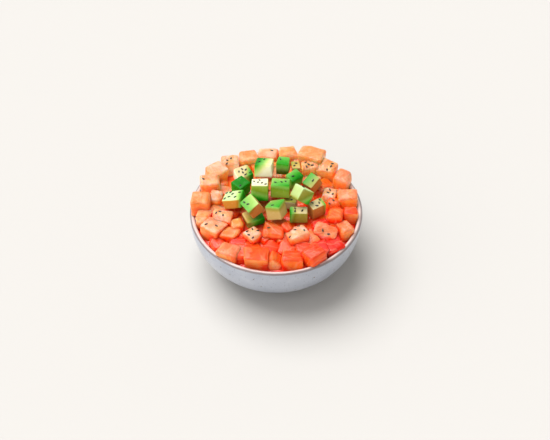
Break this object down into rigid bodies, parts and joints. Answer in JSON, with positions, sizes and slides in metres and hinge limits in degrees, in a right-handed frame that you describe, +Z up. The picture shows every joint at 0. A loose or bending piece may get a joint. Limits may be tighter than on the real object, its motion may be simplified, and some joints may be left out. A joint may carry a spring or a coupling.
{
  "type": "salmon bowl",
  "caption": "Round glazed bowl heaped with diced raw salmon, with a mound of diced avocado and black sesame seeds on top.",
  "frame": {"origin": "middle of the foot ring on the surface that the bowl stands on", "axes": "+Z up through the middle of the bowl, -Y the side that the picture shows in front, +X to its right"},
  "size_m": [0.16, 0.16, 0.0925],
  "materials": {
    "glaze": "gloss",
    "salmon": "gloss",
    "avocado": "satin"
  },
  "bodies": {
    "root": {"bowl": "glaze", "salmon": "salmon", "avocado_01": "avocado", "avocado_02": "avocado", "avocado_03": "avocado", "avocado_04": "avocado", "avocado_05": "avocado", "avocado_06": "avocado", "avocado_07": "avocado", "avocado_08": "avocado", "avocado_09": "avocado", "avocado_10": "avocado", "avocado_11": "avocado", "avocado_12": "avocado", "avocado_13": "avocado", "avocado_14": "avocado", "avocado_15": "avocado", "avocado_16": "avocado", "avocado_17": "avocado"}
  },
  "joints": []
}
